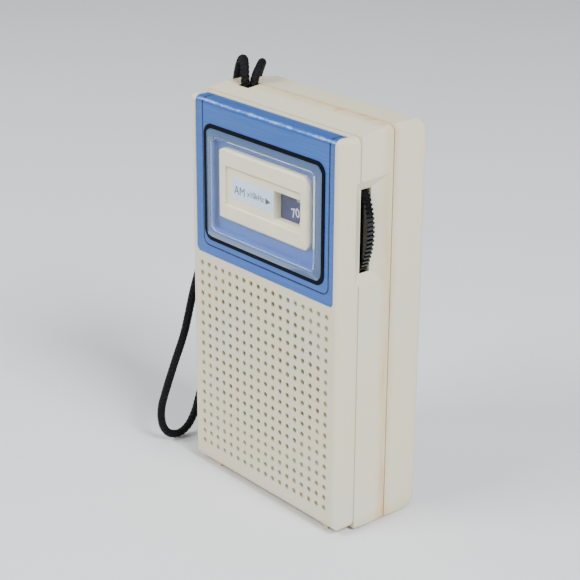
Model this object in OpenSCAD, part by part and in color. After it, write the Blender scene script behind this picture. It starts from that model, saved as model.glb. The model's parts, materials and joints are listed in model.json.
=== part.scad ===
// Pocket transistor radio, AM only, with a carrying strap.
// Millimetres. +Z up, front face towards -Y, tuning wheel on the +X side.
// Origin: on the standing surface, under the middle of the case.

/* [Case] */
// outside half width at the seam between the two halves
case_hw = 31; // [30.6:0.1:32]
// radius of the corners of the case outline
corner_r = 2; // [1.5:0.1:2.4]

/* [Loudspeaker grille] */
// columns of holes
hole_cols = 18; // [10:1:18]
// rows of holes
hole_rows = 19; // [10:1:19]
// hole diameter
hole_d = 1.4; // [1.2:0.1:1.8]
// holes nearer than this to the loudspeaker's axis go right through, the others are dimples
open_r = 23.8; // [15:0.1:23.9]
// loudspeaker radius
speaker_r = 25; // [24:0.2:25.4]

/* [Window and dial] */
// half width of the panel
panel_hw = 27.7; // [26:0.1:27.7]
// half width of the window inside its black rim
window_hw = 23; // [22:0.1:23.2]
// half height of the window inside its black rim
window_hh = 15.05; // [14.5:0.05:15.3]
// dial disc radius
dial_r = 12.9; // [12.8:0.05:13]

/* [Wheels] */
// tuning wheel radius over the ribs
tune_r = 22.4; // [21.6:0.1:22.6]
// ribs round the tuning wheel
tune_ribs = 120; // [60:10:140]
// volume wheel radius over the ribs
vol_r = 8.6; // [8:0.1:8.6]

/* [Cells] */
// diameter of each cell
cell_d = 14; // [13.5:0.1:14]
// length of each cell, button included
cell_l = 50.5; // [50.1:0.1:50.5]

/* [Strap] */
// cord diameter
cord_d = 2.3; // [1.8:0.1:2.3]

/* [Hidden] */
$fn = 96;
case_h = 109.3;
face_y = -14.75;
seam_y = 1.75;
back_y = 15.75;
front_in = face_y + 2;
band_y = face_y + 6.1;
band_h = 107.8;
bend_r = 1.9;
bend_y = face_y + bend_r;
bend_z = band_h - bend_r;
edge_r = 3.5;
edge_x = 26.45;
edge_z = case_h - 4.4;
hollow_top = 106.6;
wall_x = 28.3;
hole_pitch = 3;
grille_z = 34.3;
speaker_z = 40.3;
panel_z = 64.4;
panel_end_y = face_y + 4.45;
window_z = 84.95;
open_hw = 21;
open_hh = 13.05;
tune_x = 8.4;
tune_z = 83;
vol_x = -22.4;
vol_z = 92;
wheel_y0 = -6.2;
wheel_y1 = -3.9;
gear_m = 0.5;
tune_teeth = 18;
dial_teeth = 12;
mesh_d = (tune_teeth + dial_teeth) * gear_m / 2;
mesh_a = 17.5;
dial_x = tune_x + mesh_d * cos(mesh_a);
dial_z = tune_z + mesh_d * sin(mesh_a);
jack_y = -3.2;
jack_z = 72;
board_y0 = 5.2;
board_y1 = 6.6;
screw_x = 25.8;
screw_z = 65;
board_holes = [[24.9, 103.4], [-14.2, 103.4]];
rod_y = 10.3;
rod_z = 99.5;
rod_r = 3.2;
cell_y = 7;
cell_z1 = 9.6;
cell_z2 = 24.1;

// ---- helpers -------------------------------------------------------------

// a flat shape drawn in X and Z, pushed from y0 to y1
module along_y(y0, y1) {
    translate([0, y1, 0])
        rotate([90, 0, 0])
            linear_extrude(y1 - y0)
                children();
}

// a flat shape drawn in Y and Z, pushed from x0 to x1
module along_x(x0, x1) {
    translate([x0, 0, 0])
        rotate([90, 0, 90])
            linear_extrude(x1 - x0)
                children();
}

// a flat shape drawn in X and Y, pushed from z0 to z1
module along_z(z0, z1) {
    translate([0, 0, z0])
        linear_extrude(z1 - z0)
            children();
}

// round bar lying along Y
module bar_y(x, z, r, y0, y1) {
    translate([x, y1, z])
        rotate([90, 0, 0])
            cylinder(r = r, h = y1 - y0);
}

// round bar lying along X
module bar_x(y, z, r, x0, x1) {
    translate([x0, y, z])
        rotate([0, 90, 0])
            cylinder(r = r, h = x1 - x0);
}

// box given by its two corners
module box(x0, x1, y0, y1, z0, z1) {
    translate([x0, y0, z0])
        cube([x1 - x0, y1 - y0, z1 - z0]);
}

// rectangle with round corners, given by its sides
module round_rect(x0, x1, z0, z1, r) {
    translate([x0 + r, z0])
        square([x1 - x0 - 2 * r, z1 - z0]);
    translate([x0, z0 + r])
        square([x1 - x0, z1 - z0 - 2 * r]);
    for (x = [x0 + r, x1 - r])
        for (z = [z0 + r, z1 - r])
            translate([x, z])
                circle(r);
}

// ---- case shape ----------------------------------------------------------

// front part of the front cabinet, up to the shallow groove round the case
module front_band() {
    intersection() {
        along_y(face_y, band_y - 0.12)
            round_rect(-30.35, 30.35, 1.3, band_h, corner_r);
        along_x(-32, 32)
            front_band_side();
        along_z(-1, case_h + 1)
            front_band_plan();
    }
}

module front_band_side() {
    polygon([
        [face_y, 3.2], [face_y + 1.3, 1.9], [band_y, 1.4],
        [band_y, band_h], [bend_y, band_h], [face_y, bend_z]]);
    translate([face_y + 1.3, 3.2])
        circle(1.3);
    translate([bend_y, bend_z])
        circle(bend_r);
}

module front_band_plan() {
    polygon([
        [-28.3, face_y], [28.3, face_y], [30.1, face_y + 1.8],
        [30.3, band_y], [-30.3, band_y], [-30.1, face_y + 1.8]]);
    for (s = [-1, 1])
        translate([s * 28.3, face_y + 1.8])
            circle(1.8);
}

// floor of the groove
module groove_core() {
    along_y(band_y - 0.3, band_y + 0.3)
        round_rect(-30.2, 30.2, 1.5, band_h - 0.15, corner_r);
}

// rear part of the front cabinet, up to the seam
module rear_band() {
    intersection() {
        along_y(band_y + 0.12, seam_y - 0.12)
            round_rect(-case_hw, case_hw, 0, case_h, corner_r);
        along_x(-32, 32)
            polygon([
                [band_y, 1.1], [seam_y - 4, 0.6], [seam_y - 3.2, 0], [seam_y, 0],
                [seam_y, case_h], [band_y, band_h + 0.3]]);
        along_z(-1, case_h + 1)
            polygon([
                [-30.5, band_y], [30.5, band_y], [case_hw, seam_y], [-case_hw, seam_y]]);
    }
}

module rear_solid() {
    difference() {
        intersection() {
            along_y(seam_y + 0.12, back_y)
                round_rect(-case_hw, case_hw, 0, case_h, corner_r);
            along_x(-32, 32)
                union() {
                    polygon([
                        [seam_y, 0], [seam_y + 2.5, 0], [back_y - 6, 0.6], [back_y, 6.6],
                        [back_y, edge_z], [back_y - edge_r, edge_z + edge_r], [seam_y, case_h]]);
                    translate([back_y - 6, 6.6])
                        circle(6);
                    translate([back_y - edge_r, edge_z])
                        circle(edge_r);
                }
            along_z(-1, case_h + 1)
                union() {
                    polygon([
                        [-case_hw, seam_y], [case_hw, seam_y],
                        [edge_x + edge_r, back_y - edge_r], [edge_x, back_y],
                        [-edge_x, back_y], [-edge_x - edge_r, back_y - edge_r]]);
                    for (s = [-1, 1])
                        translate([s * edge_x, back_y - edge_r])
                            circle(edge_r);
                }
        }
        for (s = [-1, 1])
            top_corner_cut(s);
    }
}

// what is taken off a top corner, so that it gets rounder from the seam to the back
module top_corner_cut(s) {
    difference() {
        box(s * 29.95 - 3.5, s * 29.95 + 3.5, seam_y, back_y + 1, edge_z, case_h + 1);
        translate([s * edge_x, back_y - edge_r, edge_z])
            rotate([-90, 0, 0])
                rotate_extrude()
                    polygon(concat(
                        [[0, -12], [5.7, -12]],
                        [for (a = [0 : 10 : 90]) 3.62 * [cos(a), sin(a)]]));
    }
}

// scoop in the side wall round a wheel, s = side, z0 to z1 = slot ends
module scoop(s, z0, z1, b) {
    intersection() {
        along_y(face_y + 2, seam_y)
            polygon([
                [s * 34, z0 - 7.7 * b], [s * 28.5, z0], [s * 28.5, z1], [s * 34, z1 + 7.7 * b]]);
        along_z(z0 - 8 * b, z1 + 8 * b)
            polygon([
                [s * 34, face_y - 0.8], [s * 28.5, face_y + 7.6], [s * 28.5, face_y + 11.4],
                [s * 34, face_y + 20]]);
    }
}

module front_cabinet() {
    color([0.87, 0.84, 0.75])
        difference() {
            union() {
                front_band();
                groove_core();
                rear_band();
                foot(-21.8);
                foot(24);
                // tops of the pillars, above the edge of the cabinet
                for (p = board_holes)
                    bar_y(p[0], p[1], 2, seam_y - 1, board_y0);
                for (s = [-1, 1])
                    bar_y(s * screw_x, screw_z, 2.2, seam_y - 1, board_y0);
            }
            // hollow
            difference() {
                along_y(front_in, seam_y + 1)
                    round_rect(-wall_x, wall_x, 4, hollow_top, 2);
                // thicker wall behind the two scoops
                box(26.7, 29, -9.5, -1.6, 67, 99);
                box(-29, -27.4, -9.5, -1.6, 84.5, 99.5);
                // pillars for the case screws, each with a web to the side wall
                for (s = [-1, 1]) {
                    bar_y(s * screw_x, screw_z, 2.2, -13, seam_y + 1);
                    box(s * 27.5 - 1.7, s * 27.5 + 1.7, -13, 0.2, 64.2, 65.8);
                }
                // pillars under the board
                for (p = board_holes)
                    bar_y(p[0], p[1], 2, -13, seam_y + 1);
            }
            // bores in the pillars
            for (p = board_holes)
                bar_y(p[0], p[1], 0.75, -4, board_y0 + 1);
            for (s = [-1, 1])
                bar_y(s * screw_x, screw_z, 0.9, -6, board_y0 + 1);
            // seat of the panel
            panel_shape(bend_r - 0.6, bend_r + 1, 0.05);
            window_opening(face_y - 1, face_y + 3);
            // grille
            for (i = [0 : hole_cols - 1])
                for (j = [0 : hole_rows - 1])
                    grille_hole(
                        (i - (hole_cols - 1) / 2) * hole_pitch,
                        grille_z + (j - (hole_rows - 1) / 2) * hole_pitch);
            // pocket for the edge of the dial disc
            bar_y(dial_x, dial_z, dial_r + 0.5, -11.5, -9.75);
            // scoops and slots for the wheels
            scoop(1, 72.1, 93.9, 1);
            box(22, 33, face_y + 8, face_y + 11.4, 72.1, 93.9);
            bar_y(tune_x, tune_z, tune_r + 0.5, face_y + 8, face_y + 11.4);
            scoop(-1, vol_z - 5.8, vol_z + 5.8, 0.8);
            box(-33, -24, face_y + 8, face_y + 11.4, vol_z - 5.8, vol_z + 5.8);
            bar_y(vol_x, vol_z, vol_r + 0.5, face_y + 8, face_y + 11.4);
            // strap opening, closed at the back by the rear cover
            box(-24.8, -20.5, -2.5, seam_y + 1, 104, case_h + 2);
            // earphone socket hole
            bar_x(jack_y, jack_z, 3.05, -33, -24);
            bar_x(jack_y, jack_z, 3.9, -33, -30.1);
        }
}

// hole of the grille: right through in front of the loudspeaker, elsewhere a dimple
module grille_hole(x, z) {
    depth = norm([x, z - speaker_z]) < open_r ? 3 : 0.75;
    translate([x, face_y + depth, z])
        rotate([90, 0, 0])
            cylinder(d = hole_d, h = 4, $fn = 20);
}

// opening behind the window, in the panel and in the cabinet
module window_opening(y0, y1) {
    along_y(y0, y1)
        round_rect(-open_hw, open_hw, window_z - open_hh, window_z + open_hh, 2);
}

// small foot under the front edge
module foot(x) {
    box(x - 1.1, x + 1.1, face_y + 1.9, face_y + 5, 0, 3);
}

// strip from the lower edge of the panel up, over the bend and back along the top; r0 and
// r1 = inner and outer radius of the bend, g = gap added round the outline
module panel_shape(r0, r1, g) {
    intersection() {
        along_x(-panel_hw - g, panel_hw + g)
            union() {
                translate([bend_y - r1, panel_z - g])
                    square([r1 - r0, bend_z - panel_z + g]);
                translate([bend_y, bend_z + r0])
                    square([panel_end_y - bend_y + g, r1 - r0]);
                intersection() {
                    translate([bend_y, bend_z])
                        difference() {
                            circle(r1);
                            circle(r0);
                        }
                    translate([bend_y - 5, bend_z - 0.01])
                        square([5.01, 5]);
                }
            }
        along_y(face_y - 2, panel_end_y + 1)
            round_rect(-panel_hw - g, panel_hw + g, panel_z - g, case_h + 3, 1.4 + g);
    }
}

module rear_cover() {
    color([0.86, 0.83, 0.74])
        difference() {
            union() {
                difference() {
                    rear_solid();
                    // hollow
                    along_y(seam_y - 1, back_y - 1.6)
                        round_rect(-28.1, 28.1, 2.2, hollow_top, 2.4);
                }
                // corner of the hollow filled where the underside turns up
                difference() {
                    intersection() {
                        rear_solid();
                        box(-28.3, 28.3, back_y - 8, back_y, 2, 8);
                    }
                    bar_x(back_y - 6, 6.6, 4.5, -40, 40);
                    box(-28.1, 28.1, -2, back_y - 6, 2.1, 12);
                    box(-28.1, 28.1, -2, back_y - 1.6, 6.6, 12);
                }
                // tongue that closes the seam from inside
                difference() {
                    along_y(seam_y - 1.2, seam_y + 1)
                        round_rect(-28.2, 28.2, 4.1, hollow_top - 0.1, 1.9);
                    along_y(seam_y - 2, seam_y + 2)
                        round_rect(-27.2, 27.2, 5.1, hollow_top - 1.1, 1.5);
                    box(-25.9, 25.9, seam_y - 2, seam_y + 2, 3, 6);
                    for (s = [-1, 1])
                        box(s * 27 - 4, s * 27 + 4, seam_y - 2, seam_y + 2, 62, 68);
                }
                // wall over the cells
                box(-28.2, 28.2, 2.2, back_y - 1, 32, 33.4);
                // guides between and beside the cells
                box(-27.9, -27.3, 2.2, back_y - 1, 3, 32);
                box(27.3, 27.9, 2.2, back_y - 1, 3, 32);
                // screw pillars
                for (s = [-1, 1])
                    bar_y(s * screw_x, screw_z, 2.8, board_y1, back_y - 1);
            }
            // doorway to the cells
            box(-25.2, 25.2, back_y - 3, back_y + 1, 8.2, 31.4);
            box(-25.9, 25.9, back_y - 0.8, back_y + 1, 7.5, 32.1);
            // room for the strap anchor behind the opening
            box(-26, -19.3, -3, 4.2, 98, hollow_top);
            // screw holes
            for (s = [-1, 1]) {
                bar_y(s * screw_x, screw_z, 1.1, 5, back_y + 1);
                bar_y(s * screw_x, screw_z, 2.2, back_y - 2.4, back_y + 1);
            }
        }
}

module battery_door() {
    color([0.85, 0.82, 0.73])
        difference() {
            union() {
                box(-25.6, 25.6, back_y - 0.8, back_y, 7.8, 31.8);
                box(-24.9, 24.9, back_y - 1.6, back_y - 0.8, 8.5, 31.1);
            }
            // finger grooves
            for (k = [0 : 4])
                box(-7, 7, back_y - 0.35, back_y + 1, 26 - k * 1.6, 26.8 - k * 1.6);
        }
}

module dial_panel() {
    color([0.4, 0.55, 0.76])
        difference() {
            panel_shape(bend_r - 0.6, bend_r - 0.2, 0);
            window_opening(face_y - 1, face_y + 1);
        }
}

module window_rim() {
    color([0.05, 0.05, 0.07])
        along_y(face_y, face_y + 0.2)
            difference() {
                round_rect(
                    -window_hw - 1.1, window_hw + 1.1,
                    window_z - window_hh - 1.1, window_z + window_hh + 1.1, 3);
                round_rect(
                    -window_hw - 0.05, window_hw + 0.05,
                    window_z - window_hh - 0.05, window_z + window_hh + 0.05, 2.25);
            }
}

// flat on the panel, with bevelled edges and a shallow hollow behind
module window_lens() {
    color([0.8, 0.87, 0.93, 0.4])
        difference() {
            intersection() {
                along_y(face_y - 1, face_y + 0.2)
                    round_rect(
                        -window_hw, window_hw, window_z - window_hh, window_z + window_hh, 2.2);
                along_z(window_z - 20, window_z + 20)
                    bevelled(-window_hw, window_hw);
                along_x(-30, 30)
                    mirror([1, -1])
                        bevelled(window_z - window_hh, window_z + window_hh);
            }
            window_opening(face_y - 0.2, face_y + 1);
        }
}

// section of the lens between its two edges
module bevelled(a, b) {
    polygon([
        [a, face_y + 0.3], [a, face_y], [a + 1.85, face_y - 1], [b - 1.85, face_y - 1],
        [b, face_y], [b, face_y + 0.3]]);
}

module dial_backplate() {
    color([0.42, 0.58, 0.78])
        difference() {
            union() {
                along_y(face_y + 2, face_y + 2.8)
                    round_rect(-24.2, 24.2, 69, 101, 1.5);
                // frame that lines the opening
                along_y(face_y + 0.6, face_y + 2)
                    difference() {
                        round_rect(
                            -open_hw + 0.05, open_hw - 0.05,
                            window_z - open_hh + 0.05, window_z + open_hh - 0.05, 1.95);
                        round_rect(
                            -open_hw + 0.65, open_hw - 0.65,
                            window_z - open_hh + 0.65, window_z + open_hh - 0.65, 1.35);
                    }
                // pivot of the dial
                bar_y(dial_x, dial_z, 1.2, face_y + 2.8, face_y + 3.3);
                bar_y(dial_x, dial_z, 1, face_y + 2.8, -8.05);
            }
            // hole for the collar of the bezel
            box(3.45, 14.2, face_y + 1, face_y + 3, 80.65, 89.95);
        }
}

module dial_bezel() {
    color([0.9, 0.88, 0.8])
        difference() {
            union() {
                intersection() {
                    along_y(face_y + 0.5, face_y + 2)
                        round_rect(-18.4, 18, 76, 95.8, 3);
                    along_z(70, 100)
                        eased(-18.4, 18);
                    along_x(-20, 20)
                        mirror([1, -1])
                            eased(76, 95.8);
                }
                // collar that reaches back to the dial disc
                box(3.5, 14.15, face_y + 1.9, face_y + 3.3, 80.7, 89.9);
            }
            // recess for the label
            box(-15, 15, face_y, face_y + 0.9, 80.5, 91.1);
            // aperture, narrower behind
            box(4.3, 15, face_y, face_y + 1.9, 81.5, 89.1);
            box(4.3, 13.55, face_y, face_y + 4, 81.5, 89.1);
        }
}

// section of the bezel, with its front edges eased
module eased(a, b) {
    polygon([
        [a, face_y + 2], [a + 0.15, face_y + 1.1], [a + 0.8, face_y + 0.5],
        [b - 0.8, face_y + 0.5], [b - 0.15, face_y + 1.1], [b, face_y + 2]]);
}

module scale_label() {
    color([0.78, 0.84, 0.92])
        box(-12.6, 4.2, face_y + 0.8, face_y + 0.9, 83, 88.7);
}

// ---- dial and tuning -----------------------------------------------------

// gear of n teeth, module m, a = turn of the first tooth
module gear(n, m, y0, y1, a) {
    r = n * m / 2;
    along_y(y0, y1)
        union() {
            circle(r - m * 0.95);
            for (k = [0 : n - 1])
                rotate(a + k * 360 / n)
                    polygon([
                        [0, -0.6 * m], [r - m * 0.9, -0.68 * m], [r + m * 0.75, -0.26 * m],
                        [r + m * 0.75, 0.26 * m], [r - m * 0.9, 0.68 * m], [0, 0.6 * m]]);
        }
}

module dial_disc() {
    aim = atan2(tune_z - dial_z, tune_x - dial_x);
    color([0.12, 0.17, 0.45])
        difference() {
            union() {
                bar_y(dial_x, dial_z, dial_r, -11.1, -10.15);
                translate([dial_x, 0, dial_z])
                    gear(dial_teeth, gear_m, -10.2, -8.7, aim + 180 / dial_teeth);
            }
            bar_y(dial_x, dial_z, 1.06, -12, -8);
        }
}

module dial_washer() {
    color([0.75, 0.76, 0.78])
        difference() {
            bar_y(dial_x, dial_z, 2, -8.4, -8.1);
            bar_y(dial_x, dial_z, 1, -9, -8);
        }
}

module ribbed_rim(x, z, r, n) {
    along_y(wheel_y0, wheel_y1)
        translate([x, z])
            union() {
                circle(r - 0.45);
                for (k = [0 : n - 1])
                    rotate(k * 360 / n)
                        translate([r - 1, -0.31])
                            square([1, 0.62]);
            }
}

module tuning_wheel() {
    aim = atan2(dial_z - tune_z, dial_x - tune_x);
    color([0.06, 0.06, 0.07])
        difference() {
            union() {
                ribbed_rim(tune_x, tune_z, tune_r, tune_ribs);
                bar_y(tune_x, tune_z, 3.6, -9.8, wheel_y0 + 0.1);
                translate([tune_x, 0, tune_z])
                    gear(tune_teeth, gear_m, -9.8, -8.7, aim);
            }
            bar_y(tune_x, tune_z, 2.05, -12, -3);
            // seat of the screw head
            bar_y(tune_x, tune_z, 2.7, -11, -9.1);
            // shallow dish in the back
            difference() {
                bar_y(tune_x, tune_z, 18.5, wheel_y1 - 0.9, wheel_y1 + 1);
                bar_y(tune_x, tune_z, 5, wheel_y1 - 2, wheel_y1 + 2);
            }
        }
}

module tuning_screw() {
    color([0.75, 0.76, 0.78])
        difference() {
            bar_y(tune_x, tune_z, 2.6, -9.8, -9.1);
            box(tune_x - 2, tune_x + 2, -11, -9.4, tune_z - 0.3, tune_z + 0.3);
        }
}

module tuning_shaft() {
    color([0.75, 0.68, 0.42])
        bar_y(tune_x, tune_z, 2, -9.1, -1.3);
}

module tuning_capacitor() {
    color([0.86, 0.86, 0.82])
        difference() {
            box(tune_x - 10, tune_x + 10, -3.2, board_y0, tune_z - 10, tune_z + 10);
            for (sx = [-1, 1])
                for (sz = [-1, 1])
                    bar_y(tune_x + sx * 7.4, tune_z + sz * 7.4, 1.2, -4, -2);
            bar_y(tune_x, tune_z, 2.05, -4, -1);
        }
}

module volume_wheel() {
    color([0.06, 0.06, 0.07])
        difference() {
            union() {
                ribbed_rim(vol_x, vol_z, vol_r, 46);
                bar_y(vol_x, vol_z, 2.6, wheel_y1 - 1, -3.5);
                bar_y(vol_x, vol_z, 1.5, wheel_y1 - 1, -1.3);
            }
            // seat of the screw head
            bar_y(vol_x, vol_z, 2.6, wheel_y0 - 1, wheel_y0 + 0.8);
        }
}

module volume_screw() {
    color([0.75, 0.76, 0.78])
        difference() {
            bar_y(vol_x, vol_z, 2.5, wheel_y0, wheel_y0 + 0.8);
            box(vol_x - 1.8, vol_x + 1.8, wheel_y0 - 1, wheel_y0 + 0.4, vol_z - 0.3, vol_z + 0.3);
        }
}

module volume_control() {
    color([0.3, 0.28, 0.26])
        difference() {
            union() {
                bar_y(vol_x, vol_z, 4.6, -3.2, board_y0);
                for (k = [-1, 0, 1])
                    translate([vol_x + k * 2.6, 0, vol_z])
                        box(-0.5, 0.5, 4.6, board_y0, -7, -3);
            }
            bar_y(vol_x, vol_z, 1.55, -4, -1);
        }
}

module earphone_jack() {
    color([0.12, 0.12, 0.13])
        difference() {
            union() {
                box(-27, -17, jack_y - 3.4, board_y0, jack_z - 3.6, jack_z + 3.6);
                bar_x(jack_y, jack_z, 2.9, -30.1, -26.5);
            }
            bar_x(jack_y, jack_z, 1.8, -31, -18.5);
        }
}

module jack_nut() {
    color([0.78, 0.79, 0.8])
        difference() {
            bar_x(jack_y, jack_z, 3.7, -30.8, -30.1);
            bar_x(jack_y, jack_z, 1.8, -32, -29);
        }
}

// ---- loudspeaker ---------------------------------------------------------

// ring or cup round the loudspeaker axis; the profile is drawn as radius and depth
module speaker_turn() {
    translate([0, 0, speaker_z])
        rotate([-90, 0, 0])
            rotate_extrude()
                children();
}

module grille_screen() {
    color([0.35, 0.3, 0.2])
        box(-26, 26, front_in, front_in + 0.3, 15, 62.6);
}

module speaker_basket() {
    color([0.55, 0.57, 0.58])
        difference() {
            speaker_turn()
                polygon([
                    [21.6, -12.45], [speaker_r, -12.45], [speaker_r, -11.2], [22.4, -11.2],
                    [11.2, -5.4], [9.4, -5.4], [9.4, -6.2], [10.6, -6.2], [21.6, -11.9]]);
            // openings in the back
            for (k = [0 : 3])
                translate([0, 0, speaker_z])
                    rotate([0, 45 + 90 * k, 0])
                        box(-4, 4, -10.5, -6.4, 12.5, 20);
        }
}

module speaker_magnet() {
    color([0.25, 0.25, 0.27])
        speaker_turn()
            polygon([
                [0, -5.4], [10, -5.4], [10, -1], [9.2, -0.3], [0, -0.3]]);
}

module speaker_cone() {
    color([0.16, 0.15, 0.14])
        speaker_turn()
            polygon([
                [21.4, -12.1], [21.4, -11.9], [20.4, -11.45], [19.4, -11.75], [6.6, -6.6],
                [6.6, -5.45], [6.2, -5.45], [6.2, -6.9], [19.3, -12.1], [20.4, -11.8]]);
}

module speaker_cap() {
    color([0.2, 0.19, 0.18])
        intersection() {
            translate([0, -0.3, speaker_z])
                difference() {
                    sphere(9);
                    sphere(8.7);
                }
            speaker_turn()
                polygon([[0, -12], [6.1, -12], [6.1, -6.9], [0, -6.9]]);
        }
}

module speaker_clips() {
    color([0.72, 0.73, 0.74])
        for (a = [-35, 35, 180])
            translate([0, 0, speaker_z])
                rotate([0, a, 0])
                    union() {
                        box(-2.5, 2.5, -11.2, -10.6, 23.2, 26.6);
                        box(-2.5, 2.5, -12.45, -10.6, 25.3, 26.6);
                    }
}

// ---- board and parts on it -----------------------------------------------

module circuit_board() {
    color([0.66, 0.46, 0.2])
        difference() {
            box(-27.6, 27.6, board_y0, board_y1, 35.5, 105.5);
            for (s = [-1, 1])
                bar_y(s * screw_x, screw_z, 1.1, 4, 8);
            for (p = board_holes)
                bar_y(p[0], p[1], 0.9, 4, 8);
            // notch over the strap anchor
            box(-29, -17.4, 4, 8, 98.4, 107);
        }
}

module board_screws() {
    color([0.75, 0.76, 0.78])
        for (p = board_holes)
            difference() {
                union() {
                    bar_y(p[0], p[1], 1.9, board_y1, board_y1 + 1.2);
                    bar_y(p[0], p[1], 0.75, -3, board_y1);
                }
                box(p[0] - 2, p[0] + 2, board_y1 + 0.7, 9, p[1] - 0.3, p[1] + 0.3);
            }
}

module ferrite_rod() {
    color([0.2, 0.19, 0.19])
        bar_x(rod_y, rod_z, rod_r, -11.6, 22.6);
}

module antenna_coil() {
    color([0.7, 0.42, 0.18])
        difference() {
            union() {
                bar_x(rod_y, rod_z, rod_r + 0.25, -4, 11);
                bar_x(rod_y, rod_z, rod_r + 0.25, 13, 17);
            }
            bar_x(rod_y, rod_z, rod_r, -16, 28);
        }
}

module rod_cradles() {
    color([0.85, 0.84, 0.8])
        difference() {
            union() {
                box(-9.5, -6.5, board_y1, 11.8, 95, 104);
                box(18.4, 21.2, board_y1, 11.8, 95, 104);
            }
            bar_x(rod_y, rod_z, rod_r, -16, 28);
        }
}

module if_cans() {
    color([0.8, 0.81, 0.82])
        for (p = [[-18, 84], [-8, 84], [-8, 73]])
            difference() {
                box(p[0] - 3.5, p[0] + 3.5, board_y1, 13.2, p[1] - 3.5, p[1] + 3.5);
                bar_y(p[0], p[1], 1.9, 12.4, 14);
            }
}

module if_cores() {
    color([0.75, 0.2, 0.15])
        for (p = [[-18, 84], [-8, 84], [-8, 73]])
            difference() {
                bar_y(p[0], p[1], 1.9, 12.4, 13);
                box(p[0] - 1.3, p[0] + 1.3, 12.7, 14, p[1] - 0.25, p[1] + 0.25);
            }
}

module transistors() {
    color([0.1, 0.1, 0.11])
        for (p = [[-17, 75], [2, 76], [2, 66], [12, 58], [-3, 60]])
            difference() {
                bar_y(p[0], p[1], 2.4, board_y1, board_y1 + 5);
                box(p[0] - 3, p[0] + 3, board_y1 - 1, 12, p[1] + 1.2, p[1] + 3);
            }
}

module electrolytics() {
    color([0.15, 0.25, 0.5])
        for (p = [[11, 89], [19, 89], [20, 76], [-14, 58]])
            union() {
                bar_y(p[0], p[1], 3, board_y1, 12.6);
                bar_y(p[0], p[1], 2.6, 12.5, 13);
            }
}

module resistors() {
    color([0.72, 0.55, 0.36])
        for (p = [[-18.5, 62], [-13, 66], [8, 78], [13, 76], [9, 66], [-4, 50], [7, 50], [-21, 50]])
            union() {
                translate([p[0], board_y1 + 1.1, p[1]])
                    cylinder(r = 1.1, h = 5);
                translate([p[0], board_y1 + 1.1, p[1] - 1.2])
                    cylinder(r = 0.3, h = 7.4, $fn = 16);
            }
}

module disc_capacitors() {
    color([0.78, 0.5, 0.2])
        for (p = [[-24, 80], [-13, 91], [-3, 91], [15, 66], [20, 58]])
            bar_x(board_y1 + 2.6, p[1], 2.6, p[0] - 0.9, p[0] + 0.9);
}

module transformer_cores() {
    color([0.62, 0.64, 0.66])
        for (x = [-10, 10])
            difference() {
                box(x - 6, x + 6, 8, 12, 38.5, 46.5);
                box(x - 4, x - 1.6, 7, 13, 40, 45);
                box(x + 1.6, x + 4, 7, 13, 40, 45);
            }
}

module transformer_coils() {
    color([0.75, 0.6, 0.25])
        for (x = [-10, 10])
            difference() {
                box(x - 3.9, x + 3.9, board_y1, 13, 40.2, 44.8);
                box(x - 1.6, x + 1.6, 8, 12, 40, 45);
            }
}

// ---- cells and contacts --------------------------------------------------

module battery_cells() {
    color([0.1, 0.25, 0.3])
        union() {
            bar_x(cell_y, cell_z1, cell_d / 2, -cell_l / 2, cell_l / 2 - 1.2);
            bar_x(cell_y, cell_z2, cell_d / 2, -cell_l / 2 + 1.2, cell_l / 2);
        }
}

module cell_buttons() {
    color([0.78, 0.78, 0.76])
        union() {
            bar_x(cell_y, cell_z1, 2.7, cell_l / 2 - 1.2, cell_l / 2);
            bar_x(cell_y, cell_z2, 2.7, -cell_l / 2, -cell_l / 2 + 1.2);
        }
}

module contact_plates() {
    color([0.76, 0.76, 0.74])
        union() {
            box(26.9, 27.3, 3, 12, 4.5, 29);
            box(-27.3, -26.9, 3, 12, 4.5, 15.5);
            box(-27.3, -26.9, 3, 12, 18, 29);
            box(25.25, 26.9, 6, 8, cell_z1 - 1, cell_z1 + 1);
            box(-26.9, -25.25, 6, 8, cell_z2 - 1, cell_z2 + 1);
        }
}

// each spring is three turns, narrower towards its cell
module contact_springs() {
    color([0.72, 0.72, 0.7])
        for (s = [[-1, cell_z1], [1, cell_z2]])
            for (k = [0 : 2])
                translate([s[0] * (26.625 - k * 0.55), cell_y, s[1]])
                    rotate([0, 90, 0])
                        difference() {
                            cylinder(r = 4.6 - k * 0.5, h = 0.55, center = true);
                            cylinder(r = 3.7 - k * 0.5, h = 3, center = true);
                        }
}

module case_screws() {
    color([0.75, 0.76, 0.78])
        for (s = [-1, 1])
            translate([s * screw_x, 0, screw_z])
                difference() {
                    union() {
                        bar_y(0, 0, 2.1, back_y - 2.4, back_y - 1);
                        bar_y(0, 0, 0.9, -5, back_y - 2.3);
                    }
                    box(-1.5, 1.5, back_y - 1.5, back_y, -0.3, 0.3);
                    box(-0.3, 0.3, back_y - 1.5, back_y, -1.5, 1.5);
                }
}

// ---- strap ---------------------------------------------------------------

module strap_anchor() {
    color([0.8, 0.78, 0.7])
        union() {
            box(-25.6, -19.7, -3, 3.9, 99.8, 103.4);
            box(-25.6, -24.9, -3, 3.9, 103.4, hollow_top);
        }
}

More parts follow.
